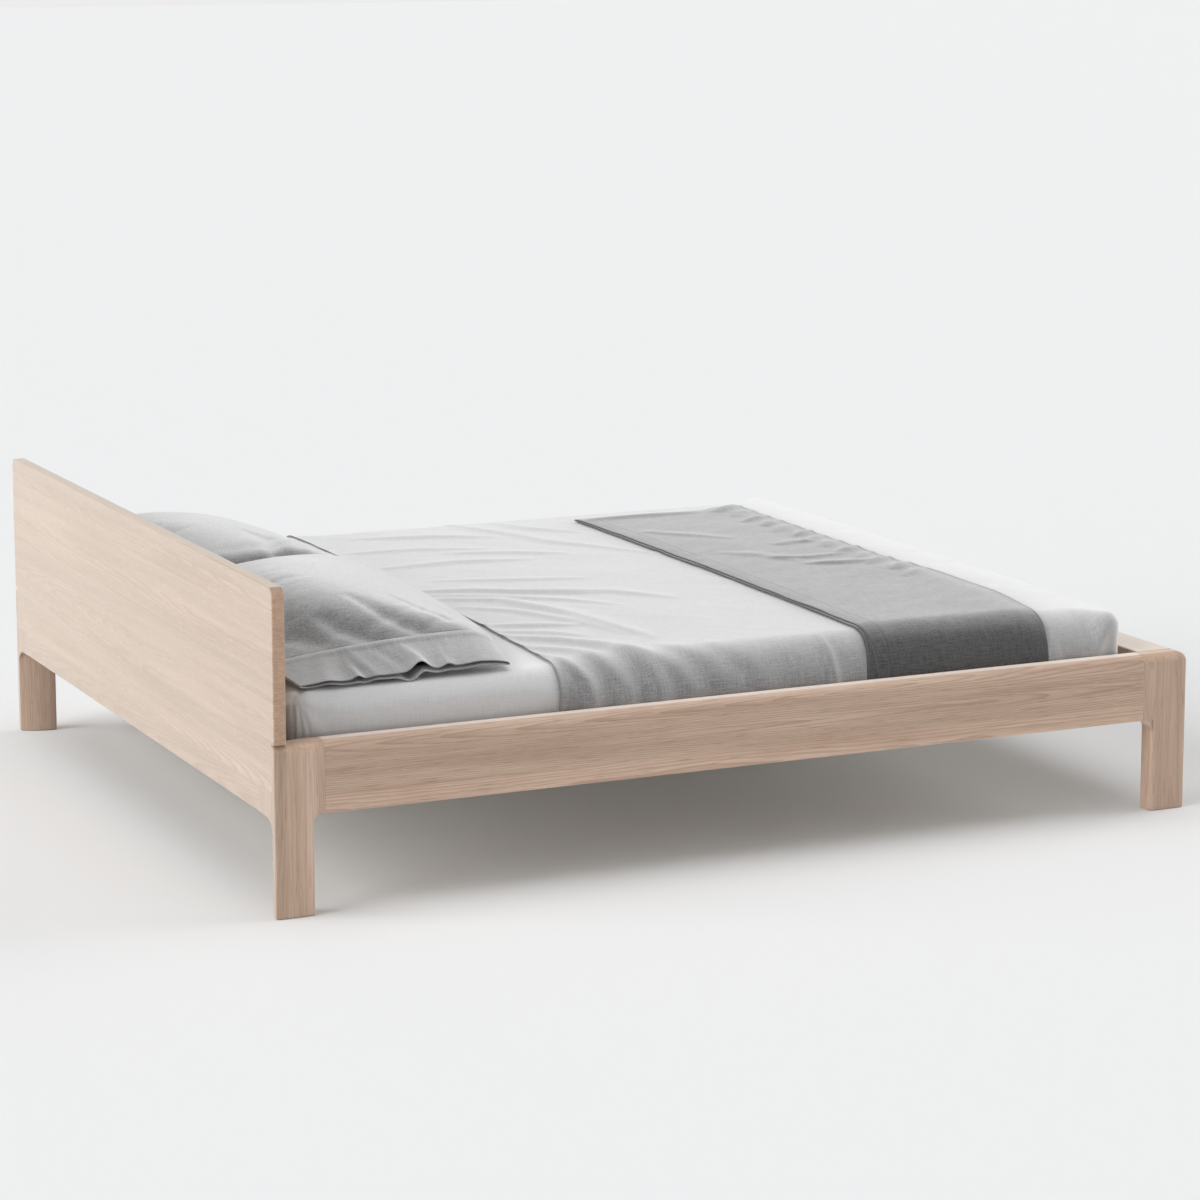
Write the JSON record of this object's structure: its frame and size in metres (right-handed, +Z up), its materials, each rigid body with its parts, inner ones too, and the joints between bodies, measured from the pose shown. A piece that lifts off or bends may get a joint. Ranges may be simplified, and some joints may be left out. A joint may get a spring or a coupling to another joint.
{
  "type": "double bed",
  "caption": "Low oak double bed with a plain headboard, rounded rails, a slatted base, a mattress, a folded blanket and pillows.",
  "frame": {"origin": "on the floor, below the middle of the bed frame", "axes": "+X along the bed from the headboard to the foot end, +Y across the bed to the side that is far from the viewer in the picture, +Z up"},
  "size_m": [2.2, 1.895, 0.689],
  "materials": {
    "oak": "white-oiled matt",
    "base_timber": "planed, untreated",
    "slat_timber": "planed, untreated",
    "beech_dowel": "turned, untreated",
    "zinc_steel": "zinc plated",
    "foot_plastic": "matt",
    "tape": "woven",
    "fitted_sheet": "cotton sheet over foam",
    "cover_cloth": "washed cotton",
    "blanket_cloth": "woven wool mix",
    "pillow_cloth": "washed linen"
  },
  "bodies": {
    "frame": {"headboard_panel": "oak", "head_leg_left": "oak", "head_leg_right": "oak", "foot_leg_left": "oak", "foot_leg_right": "oak", "side_rail_left": "oak", "side_rail_right": "oak", "foot_rail": "oak", "side_ledge_left": "base_timber", "side_ledge_right": "base_timber", "head_ledge": "base_timber", "foot_ledge": "base_timber", "centre_beam": "base_timber", "centre_leg": "base_timber", "beam_hanger_head": "zinc_steel", "beam_hanger_foot": "zinc_steel", "centre_leg_plate": "zinc_steel", "leveller_sleeve": "zinc_steel", "rail_hooks": "zinc_steel", "rail_sockets": "zinc_steel", "rail_fitting_screws": "zinc_steel", "ledge_screws": "zinc_steel", "hanger_screws": "zinc_steel", "headboard_dowels": "beech_dowel", "foot_rail_dowels": "beech_dowel", "leg_glides": "foot_plastic", "slat_tape_left": "tape", "slat_tape_right": "tape", "slat_01": "slat_timber", "slat_02": "slat_timber", "slat_03": "slat_timber", "slat_04": "slat_timber", "slat_05": "slat_timber", "slat_06": "slat_timber", "slat_07": "slat_timber", "slat_08": "slat_timber", "slat_09": "slat_timber", "slat_10": "slat_timber", "slat_11": "slat_timber", "slat_12": "slat_timber", "slat_13": "slat_timber", "slat_14": "slat_timber"},
    "leveller": {"leveller_foot": "foot_plastic"},
    "mattress": {"mattress": "fitted_sheet", "cover_sheet": "cover_cloth", "blanket": "blanket_cloth"},
    "pillow_left": {"pillow_left": "pillow_cloth"},
    "pillow_right": {"pillow_right": "pillow_cloth"}
  },
  "joints": [
    {"name": "mattress_lift", "type": "slide", "parent": "frame", "child": "mattress", "axis": [0, 0, 1], "range_m": [0, 0.3]},
    {"name": "pillow_left_lift", "type": "slide", "parent": "mattress", "child": "pillow_left", "axis": [0, 0, 1], "range_m": [0, 0.3]},
    {"name": "pillow_right_lift", "type": "slide", "parent": "mattress", "child": "pillow_right", "axis": [0, 0, 1], "range_m": [0, 0.3]},
    {"name": "leveller_slide", "type": "slide", "parent": "frame", "child": "leveller", "axis": [0, 0, 1], "range_m": [0, 0.012]}
  ]
}
